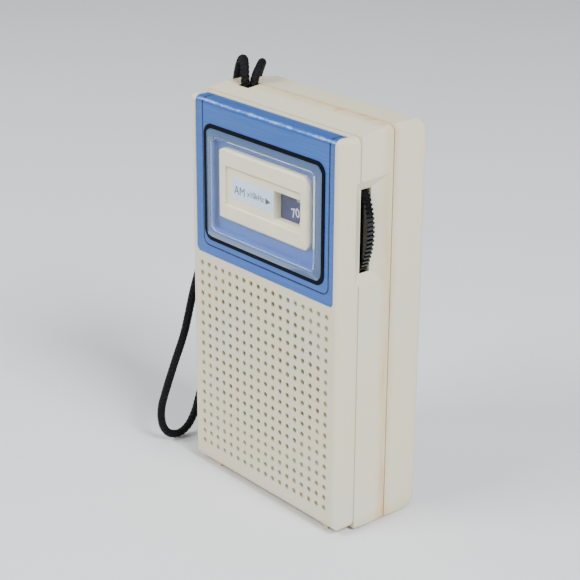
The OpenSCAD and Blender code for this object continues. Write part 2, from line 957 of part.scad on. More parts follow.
strap_route = [
    [-23.4, -1.2, 103.4], [-23.4, -1.2, 107.4], [-23.5, -1.1, 110.4], [-24.8, -0.1, 113.3],
    [-27.6, 1.8, 114.6], [-31, 3.5, 113.4], [-33, 4, 109.8], [-33.8, 3.8, 104], [-33.8, 2.2, 92],
    [-34.4, -2.6, 73], [-36, -9.4, 50.6], [-38, -12, 36], [-40, -14.4, 26], [-41.8, -16.6, 16.6],
    [-42.6, -17.6, 11], [-42.9, -17, 6], [-42.9, -14.9, 2.8], [-43, -11.4, 1.5], [-43, -8, 2.8],
    [-42.8, -5.5, 6.6], [-42.2, -3.8, 12.6], [-41.2, -0.4, 24], [-39.4, 3.2, 44],
    [-36.8, 6.6, 70], [-34.6, 9.2, 92], [-33.6, 10.6, 102], [-32.7, 10.8, 107.6],
    [-30, 9.7, 111.2], [-26.3, 7, 113.2], [-23.5, 3.8, 112.9], [-22.3, 1.6, 111.3],
    [-21.8, 0.5, 108.7], [-21.8, 0.4, 103.4]];

// point on the smooth line through p at k + t, t from 0 to 1
function at(p, k, t) =
    let (n = len(p) - 1)
    let (a = p[max(k - 1, 0)], b = p[k], c = p[min(k + 1, n)], d = p[min(k + 2, n)])
    0.5 * (2 * b + (c - a) * t + (2 * a - 5 * b + 4 * c - d) * t * t
        + (3 * b - a - 3 * c + d) * t * t * t);

function unit(v) = v / norm(v);

module cord(p, d, steps) {
    n = len(p) - 1;
    line = concat(
        [for (k = [0 : n - 1]) for (j = [0 : steps - 1]) at(p, k, j / steps)], [p[n]]);
    m = len(line) - 1;
    dirs = [for (i = [0 : m]) unit(line[min(i + 1, m)] - line[max(i - 1, 0)])];
    sides = 8;
    pts = [for (i = [0 : m])
        let (u = unit(cross(dirs[i], [1, 1, 0])), v = cross(dirs[i], u))
        for (s = [0 : sides - 1])
            line[i] + d / 2 * (cos(s * 360 / sides) * u + sin(s * 360 / sides) * v)];
    skin = [for (i = [0 : m - 1]) for (s = [0 : sides - 1])
        [i * sides + s, i * sides + (s + 1) % sides,
            (i + 1) * sides + (s + 1) % sides, (i + 1) * sides + s]];
    ends = [
        [for (s = [sides - 1 : -1 : 0]) s],
        [for (s = [0 : sides - 1]) m * sides + s]];
    polyhedron(points = pts, faces = concat(skin, ends), convexity = 8);
}

module strap_cord() {
    color([0.05, 0.05, 0.06])
        cord(strap_route, cord_d, 2);
}

front_cabinet();
rear_cover();
battery_door();
dial_panel();
window_rim();
window_lens();
dial_backplate();
dial_bezel();
scale_label();
dial_disc();
dial_washer();
tuning_wheel();
tuning_screw();
tuning_shaft();
tuning_capacitor();
volume_wheel();
volume_screw();
volume_control();
earphone_jack();
jack_nut();
grille_screen();
speaker_basket();
speaker_magnet();
speaker_cone();
speaker_cap();
speaker_clips();
circuit_board();
board_screws();
ferrite_rod();
antenna_coil();
rod_cradles();
if_cans();
if_cores();
transistors();
electrolytics();
resistors();
disc_capacitors();
transformer_cores();
transformer_coils();
battery_cells();
cell_buttons();
contact_plates();
contact_springs();
case_screws();
strap_anchor();
strap_cord();
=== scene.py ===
"""Looks for the pocket radio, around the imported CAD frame.

+Z is up and the front faces -Y. Places on the radio are in millimetres, and MM turns them into
metres; the camera and the lamps are placed in metres.
"""

import json
import math

import bpy
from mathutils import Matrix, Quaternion, Vector


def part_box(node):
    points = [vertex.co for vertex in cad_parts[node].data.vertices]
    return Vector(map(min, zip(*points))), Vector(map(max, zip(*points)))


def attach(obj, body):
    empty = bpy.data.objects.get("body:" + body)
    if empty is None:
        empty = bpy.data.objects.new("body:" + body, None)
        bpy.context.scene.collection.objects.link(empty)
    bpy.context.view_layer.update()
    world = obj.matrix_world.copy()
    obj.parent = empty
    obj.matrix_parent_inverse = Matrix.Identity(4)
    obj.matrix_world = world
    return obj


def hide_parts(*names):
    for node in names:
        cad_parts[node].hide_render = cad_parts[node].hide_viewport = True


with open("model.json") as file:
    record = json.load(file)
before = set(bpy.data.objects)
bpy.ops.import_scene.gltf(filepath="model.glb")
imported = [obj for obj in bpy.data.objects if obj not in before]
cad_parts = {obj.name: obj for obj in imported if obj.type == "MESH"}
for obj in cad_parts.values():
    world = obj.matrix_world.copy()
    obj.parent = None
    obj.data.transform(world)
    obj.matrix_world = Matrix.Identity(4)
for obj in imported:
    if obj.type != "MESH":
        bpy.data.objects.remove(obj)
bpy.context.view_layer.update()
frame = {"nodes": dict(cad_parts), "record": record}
MM = 0.001

# ---- places on the case, in millimetres ------------------------------------------------
FACE_Y = -14.75
WALL = 2.0
SEAM_Y = 1.75
GRILLE_Z = 34.3
GRILLE_HALF_W = 26.5
GRILLE_HALF_H = 28.1
HOLE_PITCH = 3.0
SPEAKER_Z = 40.3
BOARD_FRONT_Y = 5.2
disc_low, disc_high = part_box("dial_disc")
DIAL = ((disc_low[0] + disc_high[0]) / 2 / MM, (disc_low[2] + disc_high[2]) / 2 / MM)
DIAL_R = (disc_high[0] - disc_low[0]) / 2 / MM
DISC_FRONT_Y = disc_low[1] / MM
LABEL_FRONT_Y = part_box("scale_label")[0][1] / MM
lens_low, lens_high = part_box("window_lens")
LENS_CENTRE = ((lens_low[0] + lens_high[0]) / 2 / MM, (lens_low[2] + lens_high[2]) / 2 / MM)
LENS_HALF = ((lens_high[0] - lens_low[0]) / 2 / MM, (lens_high[2] - lens_low[2]) / 2 / MM)


# ---- camera ----------------------------------------------------------------------------
def place_camera():
    """Camera, placed in metres; the sensor and the lens are in millimetres."""
    azimuth, elevation, roll = math.radians(49.60), math.radians(21.67), math.radians(0.34)
    toward = Vector((
        -math.sin(azimuth) * math.cos(elevation),
        math.cos(azimuth) * math.cos(elevation),
        -math.sin(elevation)))
    data = bpy.data.cameras.new("camera")
    data.sensor_width = 36.0
    data.lens = 99.93
    data.clip_start = 0.01
    camera = bpy.data.objects.new("camera", data)
    bpy.context.scene.collection.objects.link(camera)
    camera.location = (0.30236, -0.26238, 0.21622)
    camera.rotation_mode = "QUATERNION"
    camera.rotation_quaternion = (
        toward.to_track_quat("-Z", "Y") @ Quaternion((0, 0, 1), roll))
    bpy.context.scene.camera = camera


place_camera()


# ---- shader helpers --------------------------------------------------------------------
def linear(r, g, b):
    """8-bit display colour to linear."""
    def one(v):
        v /= 255
        return v / 12.92 if v <= 0.04045 else ((v + 0.055) / 1.055) ** 2.4
    return (one(r), one(g), one(b), 1.0)


class Value:
    """A socket with arithmetic: every operator adds a Math node."""

    def __init__(self, shader, socket):
        self.shader = shader
        self.socket = socket

    def math(self, operation, *others):
        node = self.shader.nodes.new("ShaderNodeMath")
        node.operation = operation
        for i, v in enumerate((self, *others)):
            self.shader.put(node.inputs[i], v)
        return Value(self.shader, node.outputs[0])

    def __add__(self, o):
        return self.math("ADD", o)

    def __sub__(self, o):
        return self.math("SUBTRACT", o)

    def __mul__(self, o):
        return self.math("MULTIPLY", o)

    def __truediv__(self, o):
        return self.math("DIVIDE", o)

    def abs(self):
        return self.math("ABSOLUTE")

    def sin(self):
        return self.math("SINE")

    def fract(self):
        return self.math("FRACT")

    def max(self, o):
        return self.math("MAXIMUM", o)

    def min(self, o):
        return self.math("MINIMUM", o)

    def sqrt(self):
        return self.math("SQRT")

    def step(self, low, high):
        """0 at low, 1 at high, smooth between."""
        node = self.shader.nodes.new("ShaderNodeMapRange")
        node.interpolation_type = "SMOOTHSTEP"
        self.shader.put(node.inputs["Value"], self)
        rising = low < high
        node.inputs["From Min"].default_value = low if rising else high
        node.inputs["From Max"].default_value = high if rising else low
        node.inputs["To Min"].default_value = 0.0 if rising else 1.0
        node.inputs["To Max"].default_value = 1.0 if rising else 0.0
        return Value(self.shader, node.outputs["Result"])


class Shader:
    """A material with one Principled shader, built up through short calls. x, y, z are millimetres."""

    def __init__(self, name):
        self.material = bpy.data.materials.new(name)
        self.material.use_nodes = True
        self.nodes = self.material.node_tree.nodes
        self.links = self.material.node_tree.links
        self.bsdf = self.nodes["Principled BSDF"]
        coordinates = self.nodes.new("ShaderNodeTexCoord")
        scale = self.nodes.new("ShaderNodeVectorMath")
        scale.operation = "SCALE"
        scale.inputs["Scale"].default_value = 1000.0
        self.links.new(coordinates.outputs["Object"], scale.inputs[0])
        self.place = scale.outputs[0]
        split = self.nodes.new("ShaderNodeSeparateXYZ")
        self.links.new(self.place, split.inputs[0])
        self.x, self.y, self.z = (Value(self, s) for s in split.outputs)

    def put(self, socket, v):
        if isinstance(v, Value):
            self.links.new(v.socket, socket)
        elif isinstance(v, bpy.types.NodeSocket):
            self.links.new(v, socket)
        else:
            socket.default_value = v

    def set(self, **values):
        """Numbers, values or colours for the Principled shader's inputs."""
        names = {
            "rough": "Roughness", "metal": "Metallic", "colour": "Base Color",
            "specular": "Specular IOR Level", "coat": "Coat Weight", "ior": "IOR",
            "sheen": "Sheen Weight", "sheen_rough": "Sheen Roughness",
            "transmission": "Transmission Weight"}
        for key, v in values.items():
            self.put(self.bsdf.inputs[names[key]], v)
        return self

    def noise(self, scale, detail=3.0, rough=0.5, stretch=None, seed=0.0):
        """Noise from 0 to 1; scale is features per millimetre."""
        place = self.place
        if stretch or seed:
            node = self.nodes.new("ShaderNodeMapping")
            node.inputs["Scale"].default_value = stretch or (1, 1, 1)
            node.inputs["Location"].default_value = (seed, seed * 1.7, -seed)
            self.links.new(place, node.inputs["Vector"])
            place = node.outputs[0]
        node = self.nodes.new("ShaderNodeTexNoise")
        node.inputs["Scale"].default_value = scale
        node.inputs["Detail"].default_value = detail
        node.inputs["Roughness"].default_value = rough
        self.links.new(place, node.inputs["Vector"])
        return Value(self, node.outputs["Fac"])

    def cells(self, scale):
        """Distance to the nearest of scattered points; scale is points per millimetre."""
        node = self.nodes.new("ShaderNodeTexVoronoi")
        node.inputs["Scale"].default_value = scale
        self.links.new(self.place, node.inputs["Vector"])
        return Value(self, node.outputs["Distance"])

    def mix(self, share, a, b):
        """Colour a, going to colour b where share is 1."""
        node = self.nodes.new("ShaderNodeMix")
        node.data_type = "RGBA"
        self.put(node.inputs[0], share)
        self.put(node.inputs[6], a)
        self.put(node.inputs[7], b)
        return node.outputs[2]

    def bump(self, height, depth_mm, soften=None):
        """Surface relief: height 0 to 1 stands for depth_mm. soften rounds sharp edges, in mm."""
        node = self.nodes.new("ShaderNodeBump")
        node.inputs["Strength"].default_value = 1.0
        node.inputs["Distance"].default_value = depth_mm * MM
        self.put(node.inputs["Height"], height)
        if soften:
            self.links.new(self.edge_normal(soften), node.inputs["Normal"])
        self.links.new(node.outputs[0], self.bsdf.inputs["Normal"])
        return self

    def edge_normal(self, radius_mm):
        """Normal that rounds sharp edges."""
        node = self.nodes.new("ShaderNodeBevel")
        node.samples = 6
        node.inputs["Radius"].default_value = radius_mm * MM
        return node.outputs[0]


def distance_from(a, b, centre_a, centre_b):
    """Distance from a centre, in the plane of a and b."""
    da, db = a - centre_a, b - centre_b
    return (da * da + db * db).sqrt()


def rounded_box(a, b, half_a, half_b, corner):
    """Signed distance to a rounded rectangle centred on 0."""
    qa = a.abs() - (half_a - corner)
    qb = b.abs() - (half_b - corner)
    oa, ob = qa.max(0.0), qb.max(0.0)
    return (oa * oa + ob * ob).sqrt() + qa.max(qb).min(0.0) - corner


def wear(shader, base, amount, scale=0.05):
    """Slow drift of a colour, lighter and darker by amount."""
    drift = shader.noise(scale, 4.0, 0.6)
    dark = tuple(v * (1 - amount) for v in base[:3]) + (1.0,)
    light = tuple(min(1.0, v * (1 + amount)) for v in base[:3]) + (1.0,)
    return shader.mix(drift.step(0.3, 0.7), dark, light)


# ---- materials -------------------------------------------------------------------------
CREAM = linear(225, 215, 184)
CREAM_YELLOW = linear(212, 178, 112)
CREAM_COOL = linear(218, 214, 194)
HOLE_SHADE_OLIVE = linear(136, 134, 64)
OLD_DIRT = linear(200, 190, 120)
SPECK_BROWN = linear(168, 146, 104)
PANEL_DEEP = linear(42, 92, 172)
PANEL_LIGHT = linear(58, 106, 184)
PANEL_BRUSHED = linear(110, 150, 202)
PANEL_PAINTED_LIGHT_UNDER_LENS = linear(168, 194, 226)
LINE_BLUE = linear(8, 14, 52)
BARE_METAL_AND_HIGHLIGHT = linear(190, 202, 220)


def cabinet_plastic(name, grille):
    """Cream moulding, yellowed along the seam and near the table; grille adds painted shade in the holes
    and dirt round some of them.
    """
    s = Shader(name)
    blotch = s.noise(0.045, 4.0, 0.55)
    colour = s.mix(blotch.step(0.35, 0.75), CREAM, CREAM_COOL)
    ragged = s.noise(0.35, 3.0, 0.6, seed=4.0)
    band_y = SEAM_Y - 0.6
    near_seam = (s.y - band_y + (ragged - 0.5) * 1.2).abs().step(3.4, 0.4)
    low = (s.z + ragged * 3.0).step(7.0, 0.5) * 0.35
    streak = s.noise(0.4, 3.0, 0.6, stretch=(1, 1, 0.12), seed=9.0).step(0.45, 0.75)
    aged = (near_seam * (streak * 0.5 + 0.35) + low).min(0.85)
    colour = s.mix(aged, colour, CREAM_YELLOW)
    if grille:
        colour = grille_shade_and_dirt(s, colour)
    specks = s.cells(0.9).step(0.05, 0.03) * s.noise(0.25, 2.0, 0.5, seed=7.0).step(0.6, 0.72)
    colour = s.mix(specks * 0.45, colour, SPECK_BROWN)
    scuff = s.noise(1.6, 5.0, 0.65)
    s.set(colour=colour, rough=scuff * 0.16 + 0.34, specular=0.45)
    grain = s.noise(5.0, 3.0, 0.6) * 0.6 + s.noise(0.5, 2.0, 0.5) * 0.4
    return s.bump(grain, 0.018, soften=0.3).material


def grille_shade_and_dirt(s, colour):
    """Painted shade in the holes, darker over the loudspeaker, and dirt round some of them."""
    behind_face = s.y - FACE_Y
    across = s.x.abs().step(GRILLE_HALF_W + 0.1, GRILLE_HALF_W - 0.1)
    up = (s.z - GRILLE_Z).abs().step(GRILLE_HALF_H + 0.1, GRILLE_HALF_H - 0.1)
    in_grid = across * up
    # painted shade: the hole walls turn olive the deeper they go, more so over the loudspeaker
    sunk = behind_face.step(0.1, 1.7) * behind_face.step(WALL + 0.1, WALL - 0.1)
    over_speaker = distance_from(s.x, s.z, 0.0, SPEAKER_Z).step(25.0, 22.5)
    depth = over_speaker * 0.45 + 0.35
    colour = s.mix(sunk * in_grid * depth, colour, HOLE_SHADE_OLIVE)
    # place inside the square round each hole, in pitches; the odd row count puts a hole on GRILLE_Z
    cell_x = (s.x / HOLE_PITCH).fract() - 0.5
    cell_z = ((s.z - GRILLE_Z) / HOLE_PITCH + 0.5).fract() - 0.5
    ring = (cell_x * cell_x + cell_z * cell_z).sqrt().step(0.36, 0.22) * in_grid
    patch = s.noise(0.06, 3.0, 0.6, seed=2.0).step(0.42, 0.7)
    return s.mix(ring * patch * 0.45, colour, OLD_DIRT)


def panel_blue(name, outer):
    """Blue sheet, finely brushed across; outer adds the marks on the panel that can be seen, with
    painted light under the window and a painted highlight along the bend.
    """
    s = Shader(name)
    tone = s.noise(0.06, 3.0, 0.5)
    colour = s.mix(tone, PANEL_DEEP, PANEL_LIGHT)
    brushed = s.noise(3.0, 4.0, 0.7, stretch=(0.03, 1, 1))
    colour = s.mix(brushed.step(0.4, 0.65) * 0.14, colour, PANEL_BRUSHED)
    if outer:
        colour = panel_marks(s, colour)
    s.set(colour=colour, metal=0.35, rough=brushed * 0.12 + 0.3, specular=0.5)
    return s.bump(brushed * 0.5 + s.noise(0.35, 2.0, 0.5) * 0.5, 0.01, soften=0.12).material


def panel_marks(s, colour):
    """Painted light on the sheet under the window, a dark line along three edges, chips, scratches and a
    painted highlight along the bend.
    """
    # painted light: the sheet under the lens is made paler, as if lit
    under = rounded_box(s.x - LENS_CENTRE[0], s.z - LENS_CENTRE[1], *LENS_HALF, corner=2.5)
    colour = s.mix(under.step(0.1, -0.1), colour, PANEL_PAINTED_LIGHT_UNDER_LENS)
    # the line runs down both sides and along the bottom: its box ends far above the case
    line_x, line_half_w, line_bottom_z, line_half_h = 0.5, 25.2, 67.1, 100.0
    edge = rounded_box(
        s.x - line_x, s.z - (line_bottom_z + line_half_h), line_half_w, line_half_h, corner=2.2)
    line = edge.abs().step(0.27, 0.17)
    chipped = s.noise(2.2, 4.0, 0.7, seed=3.0).step(0.34, 0.42)
    colour = s.mix(line * chipped, colour, LINE_BLUE)
    # bare metal: scratches where the sheet bends, with a painted highlight along the bend, and chips
    # along its rim
    bend_z = 106.9
    ragged = s.noise(1.2, 5.0, 0.75, stretch=(0.25, 1, 1), seed=5.0)
    # painted highlight and wear: a pale band along the bend
    bend = (s.z - bend_z + (ragged - 0.5) * 1.3).abs().step(0.5, 0.08)
    bend = bend * s.noise(0.7, 5.0, 0.75, stretch=(0.5, 1, 1), seed=8.0).step(0.44, 0.62)
    panel_z, panel_half_w, panel_half_h = 86.5, 27.7, 22.1
    rim = rounded_box(s.x, s.z - panel_z, panel_half_w, panel_half_h, corner=1.4)
    chip = rim.step(-0.35, -0.08) * s.noise(1.1, 4.0, 0.7, seed=6.0).step(0.52, 0.6)
    return s.mix((bend + chip * 0.6).min(1.0) * 0.42, colour, BARE_METAL_AND_HIGHLIGHT)


def clear_lens(name):
    """Clear acrylic with a little haze and fine scratches."""
    s = Shader(name)
    haze = s.noise(0.5, 5.0, 0.7)
    scratches = s.noise(2.5, 5.0, 0.8, stretch=(0.2, 1, 1), seed=2.0).step(0.66, 0.72)
    s.set(
        colour=linear(244, 248, 252), transmission=1.0, ior=1.4,
        rough=haze.step(0.5, 0.8) * 0.04 + scratches * 0.08 + 0.02)
    s.bump(s.noise(0.08, 2.0, 0.5) + scratches * 0.15, 0.01)
    # lamps shine through, so that what is behind isn't left in the dark
    path = s.nodes.new("ShaderNodeLightPath")
    clear = s.nodes.new("ShaderNodeBsdfTransparent")
    clear.inputs[0].default_value = (0.93, 0.95, 0.97, 1.0)
    both = s.nodes.new("ShaderNodeMixShader")
    s.links.new(path.outputs["Is Shadow Ray"], both.inputs[0])
    s.links.new(s.bsdf.outputs[0], both.inputs[1])
    s.links.new(clear.outputs[0], both.inputs[2])
    s.links.new(both.outputs[0], s.nodes["Material Output"].inputs["Surface"])
    return s.material


def plain_plastic(name, base, rough=0.4, drift=0.12, grain=0.02, soften=0.15, gloss=0.5):
    """Moulded or painted plastic with a slow drift of colour and a fine grain."""
    s = Shader(name)
    fine = s.noise(4.0, 4.0, 0.6)
    s.set(colour=wear(s, base, drift, 0.12), rough=fine * 0.18 + rough - 0.09, specular=gloss)
    return s.bump(fine, grain, soften=soften).material


def black_wheel(name):
    """Glossy black plastic with grey dust in patches."""
    s = Shader(name)
    dust = s.noise(1.1, 5.0, 0.7)
    grey = dust.step(0.52, 0.75)
    colour = s.mix(grey * 0.2, linear(3, 3, 6), linear(50, 50, 54))
    s.set(colour=colour, rough=grey * 0.2 + 0.2, specular=0.5)
    return s.bump(s.noise(3.0, 4.0, 0.6), 0.02, soften=0.08).material


def metal(name, base, rough=0.3, stretch=(1, 1, 1), tarnish=None):
    """Bare or plated metal; stretch draws the fine lines out, tarnish is a second colour in patches."""
    s = Shader(name)
    lines = s.noise(4.0, 5.0, 0.7, stretch=stretch)
    colour = wear(s, base, 0.1, 0.3)
    if tarnish:
        colour = s.mix(s.noise(0.8, 5.0, 0.7, seed=3.0).step(0.5, 0.7) * 0.6, colour, tarnish)
    s.set(colour=colour, metal=1.0, rough=lines * 0.2 + rough - 0.1)
    return s.bump(lines, 0.012, soften=0.1).material


def braid(name):
    """Black cotton braid; the strands themselves are in the mesh."""
    s = Shader(name)
    fibre = s.noise(9.0, 4.0, 0.7)
    s.set(
        colour=s.mix(fibre.step(0.35, 0.75), linear(1, 1, 3), linear(13, 13, 18)),
        rough=0.55, specular=0.16, sheen=0.03, sheen_rough=0.4)
    return s.bump(fibre, 0.06).material


def woven(name, base):
    """Open cloth or felted paper: two sets of threads."""
    s = Shader(name)
    radians_per_mm = 7.0
    warp = (s.x * radians_per_mm).sin().abs()
    weft = (s.z * radians_per_mm).sin().abs()
    thread = warp.max(weft)
    dark = tuple(v * 0.35 for v in base[:3]) + (1.0,)
    s.set(colour=s.mix(thread, dark, base), rough=0.9, sheen=0.3)
    return s.bump(thread, 0.08).material


def printed_label(name):
    """Pale blue paper under the print."""
    s = Shader(name)
    s.set(colour=wear(s, linear(196, 212, 230), 0.05, 0.4), rough=s.noise(2.0) * 0.15 + 0.35)
    return s.bump(s.noise(6.0, 3.0, 0.6), 0.006).material


def dial_face(name):
    """Dark blue disc, turned in fine rings, with a pale line near its edge."""
    s = Shader(name)
    radians_per_mm = 18.0
    r = distance_from(s.x, s.z, *DIAL)
    rings = (r * radians_per_mm).sin() * 0.5 + 0.5
    colour = s.mix(rings * 0.15, linear(10, 20, 80), linear(24, 38, 112))
    edge = (r - DIAL_R + 0.6).abs().step(0.22, 0.1)
    colour = s.mix(edge * 0.8, colour, linear(200, 200, 224))
    s.set(colour=colour, rough=rings * 0.1 + 0.4, specular=0.2)
    return s.bump(rings, 0.008, soften=0.08).material


def laminate(name):
    """Brown circuit board, with copper tracks on its front face."""
    s = Shader(name)
    fibre = s.noise(1.5, 5.0, 0.7, stretch=(1, 1, 0.3))
    colour = s.mix(fibre, linear(146, 92, 40), linear(190, 134, 66))
    track = s.noise(0.22, 2.0, 0.3, seed=5.0)
    copper = (track - 0.5).abs().step(0.035, 0.025)
    front = (s.y - BOARD_FRONT_Y).step(0.4, 0.1)
    colour = s.mix(front * copper, colour, linear(186, 110, 62))
    s.set(colour=colour, rough=fibre * 0.2 + 0.35)
    return s.bump(fibre, 0.02, soften=0.1).material


def windings(name, base, axis):
    """Fine wire or tape wound round an axis."""
    s = Shader(name)
    radians_per_mm = 16.0
    along = getattr(s, axis)
    turn = (along * radians_per_mm).sin() * 0.5 + 0.5
    dark = tuple(v * 0.45 for v in base[:3]) + (1.0,)
    s.set(colour=s.mix(turn, dark, base), rough=0.35, coat=0.3)
    return s.bump(turn, 0.05, soften=0.08).material


def banded(name, base, bands, pitch):
    """Resistor body with coloured bands across Z, the same again at every pitch."""
    s = Shader(name)
    colour = wear(s, base, 0.08, 0.6)
    local = (s.z / pitch).fract() * pitch
    band_step = 1.0
    for i, band in enumerate(bands):
        here = (local - (i + 1) * band_step).abs().step(0.28, 0.2)
        colour = s.mix(here, colour, band)
    s.set(colour=colour, rough=s.noise(3.0) * 0.1 + 0.25, coat=0.3)
    return s.bump(s.noise(2.0, 3.0, 0.6), 0.03).material


def jacket(name):
    """Cell wrapper: plain bands, no print."""
    s = Shader(name)
    from_band = s.x - 12.0
    colour = s.mix(from_band.step(-0.2, 0.2), linear(22, 60, 72), linear(196, 150, 74))
    colour = s.mix(from_band.abs().step(0.5, 0.35), colour, linear(214, 212, 204))
    s.set(colour=colour, rough=s.noise(1.5, 4.0, 0.6) * 0.14 + 0.24, coat=0.4)
    return s.bump(s.noise(0.6, 3.0, 0.6), 0.04, soften=0.2).material


# ---- CAD nodes and their finishes ------------------------------------------------------
FINISH = {
    "cabinet_plastic": cabinet_plastic("cream_cabinet", False),
    "panel_blue": panel_blue("blue_plate", False),
    "rim_black": plain_plastic(
        "black_rim", linear(1, 1, 6), rough=0.45, drift=0.3, grain=0.01, soften=0.06, gloss=0.08),
    "lens_clear": clear_lens("clear_acrylic"),
    "bezel_plastic": plain_plastic(
        "cream_bezel", linear(228, 216, 176), drift=0.04, grain=0.008, soften=0.5),
    "label_print": printed_label("pale_label"),
    "dial_navy": dial_face("navy_dial"),
    "steel_small": metal("plated_steel", linear(186, 188, 190), rough=0.32),
    "wheel_black": black_wheel("black_wheel"),
    "brass_parts": metal("brass", linear(196, 160, 92)),
    "capacitor_plastic": plain_plastic("off_white", linear(222, 219, 205), rough=0.42),
    "control_body": plain_plastic("dark_phenolic", linear(86, 72, 60)),
    "jack_black": plain_plastic("black_phenolic", linear(34, 34, 37), rough=0.38, drift=0.25),
    "nickel_parts": metal(
        "nickel", linear(196, 194, 188), rough=0.24, tarnish=linear(150, 132, 96)),
    "screen_cloth": woven("brown_cloth", linear(128, 104, 66)),
    "magnet_paint": plain_plastic(
        "grey_enamel", linear(84, 86, 90), rough=0.35, drift=0.15, grain=0.03),
    "cone_paper": woven("cone_paper", linear(66, 62, 58)),
    "board_phenolic": laminate("board_laminate"),
    "ferrite_dark": plain_plastic(
        "ferrite", linear(62, 58, 58), rough=0.5, drift=0.2, grain=0.04),
    "coil_wire": windings("copper_windings", linear(196, 112, 52), "x"),
    "can_metal": metal("drawn_can", linear(204, 206, 208), rough=0.26, stretch=(1, 0.1, 1)),
    "core_red": plain_plastic("core_red", linear(190, 60, 44)),
    "transistor_black": plain_plastic("black_epoxy", linear(38, 38, 42), rough=0.42, drift=0.2),
    "electrolytic_sleeve": plain_plastic("blue_sleeve", linear(44, 76, 140), rough=0.3),
    "resistor_body": banded(
        "banded_lacquer", linear(204, 168, 120),
        [linear(120, 60, 30), linear(30, 30, 32), linear(190, 60, 40), linear(190, 150, 60)],
        pitch=5.0),
    "disc_lacquer": plain_plastic(
        "ochre_lacquer", linear(212, 150, 74), rough=0.34, drift=0.15, grain=0.04),
    "coil_tape": windings("yellow_tape", linear(214, 186, 96), "z"),
    "cell_wrap": jacket("cell_jacket"),
    "cord_braid": braid("braided_cord"),
}
SPECIAL = {
    "front_cabinet": cabinet_plastic("cream_cabinet_front", True),
    "dial_panel": panel_blue("blue_panel", True),
}


def dress_nodes():
    """Gives every CAD node its own finish, or else the one for its slot."""
    slots = {p["node"]: p["material_slot"] for p in frame["record"]["subparts"]}
    for node, obj in frame["nodes"].items():
        obj.data.materials.clear()
        obj.data.materials.append(SPECIAL.get(node) or FINISH[slots[node]])


dress_nodes()


# ---- building pieces -------------------------------------------------------------------
INK_THICK = 0.03
INK_LIFT = 0.02


def mesh_object(name, vertices, faces, material, smooth=True):
    mesh = bpy.data.meshes.new(name)
    mesh.from_pydata([tuple(v) for v in vertices], [], faces)
    mesh.polygons.foreach_set("use_smooth", [smooth] * len(faces))
    mesh.update()
    obj = bpy.data.objects.new(name, mesh)
    bpy.context.scene.collection.objects.link(obj)
    mesh.materials.append(material)
    return obj


def lettering(name, text, size_mm, place_mm, material, turn=0.0, bold=0.0, stretch=1.0):
    """Flat letters facing -Y; place is the middle of the line, turn is clockwise seen from the front."""
    curve = bpy.data.curves.new(name, "FONT")
    curve.body = text
    curve.size = size_mm * MM
    curve.align_x = "CENTER"
    curve.align_y = "CENTER"
    curve.extrude = INK_THICK * MM / 2
    curve.offset = bold * MM
    curve.resolution_u = 6
    source = bpy.data.objects.new(name + "_curve", curve)
    bpy.context.scene.collection.objects.link(source)
    bpy.context.view_layer.update()
    mesh = bpy.data.meshes.new_from_object(
        source.evaluated_get(bpy.context.evaluated_depsgraph_get()))
    bpy.data.objects.remove(source)
    ca, sa = math.cos(turn), math.sin(turn)
    x0, y0, z0 = place_mm
    for v in mesh.vertices:
        a, b, c = v.co.x * stretch, v.co.y, v.co.z
        v.co = (x0 * MM + a * ca + b * sa, y0 * MM - c, z0 * MM - a * sa + b * ca)
    mesh.name = name
    obj = bpy.data.objects.new(name, mesh)
    bpy.context.scene.collection.objects.link(obj)
    mesh.materials.clear()
    mesh.materials.append(material)
    return obj


# ---- strap -----------------------------------------------------------------------------
STRAP_MM = [
    (-23.4, -1.2, 103.4), (-23.4, -1.2, 107.4), (-23.5, -1.1, 110.4), (-24.8, -0.1, 113.3),
    (-27.6, 1.8, 114.6), (-31, 3.5, 113.4), (-33, 4, 109.8), (-33.8, 3.8, 104), (-33.8, 2.2, 92),
    (-34.4, -2.6, 73), (-36, -9.4, 50.6), (-38, -12, 36), (-40, -14.4, 26), (-41.8, -16.6, 16.6),
    (-42.6, -17.6, 11), (-42.9, -17, 6), (-42.9, -14.9, 2.8), (-43, -11.4, 1.5), (-43, -8, 2.8),
    (-42.8, -5.5, 6.6), (-42.2, -3.8, 12.6), (-41.2, -0.4, 24), (-39.4, 3.2, 44),
    (-36.8, 6.6, 70), (-34.6, 9.2, 92), (-33.6, 10.6, 102), (-32.7, 10.8, 107.6),
    (-30, 9.7, 111.2), (-26.3, 7, 113.2), (-23.5, 3.8, 112.9), (-22.3, 1.6, 111.3),
    (-21.8, 0.5, 108.7), (-21.8, 0.4, 103.4)]
STRAP_D = 2.3


def smooth_line(points, step):
    """Catmull-Rom line through the points, resampled at equal steps."""
    points = [Vector(p) for p in points]
    n = len(points) - 1
    per_span = 24
    dense = []
    for k in range(n):
        a, b, c, d = (points[i] for i in (max(k - 1, 0), k, k + 1, min(k + 2, n)))
        for j in range(per_span):
            t = j / per_span
            dense.append(0.5 * (
                2 * b + (c - a) * t + (2 * a - 5 * b + 4 * c - d) * t ** 2
                + (3 * b - a - 3 * c + d) * t ** 3))
    dense.append(points[n])
    lengths = [0.0]
    for p, q in zip(dense, dense[1:]):
        lengths.append(lengths[-1] + (q - p).length)
    count = round(lengths[-1] / step)
    line, i = [], 0
    for k in range(count + 1):
        want = lengths[-1] * k / count
        while i < len(dense) - 2 and lengths[i + 1] < want:
            i += 1
        share = (want - lengths[i]) / max(lengths[i + 1] - lengths[i], 1e-9)
        line.append(dense[i].lerp(dense[i + 1], min(max(share, 0.0), 1.0)))
    return line, lengths[-1]


def frames_along(line):
    """Two side directions at every point, carried along without twist."""
    n = len(line) - 1
    tangents = [(line[min(i + 1, n)] - line[max(i - 1, 0)]).normalized() for i in range(n + 1)]
    side = tangents[0].orthogonal().normalized()
    frames = []
    for t in tangents:
        side = (side - t * side.dot(t)).normalized()
        frames.append((side, t.cross(side)))
    return frames


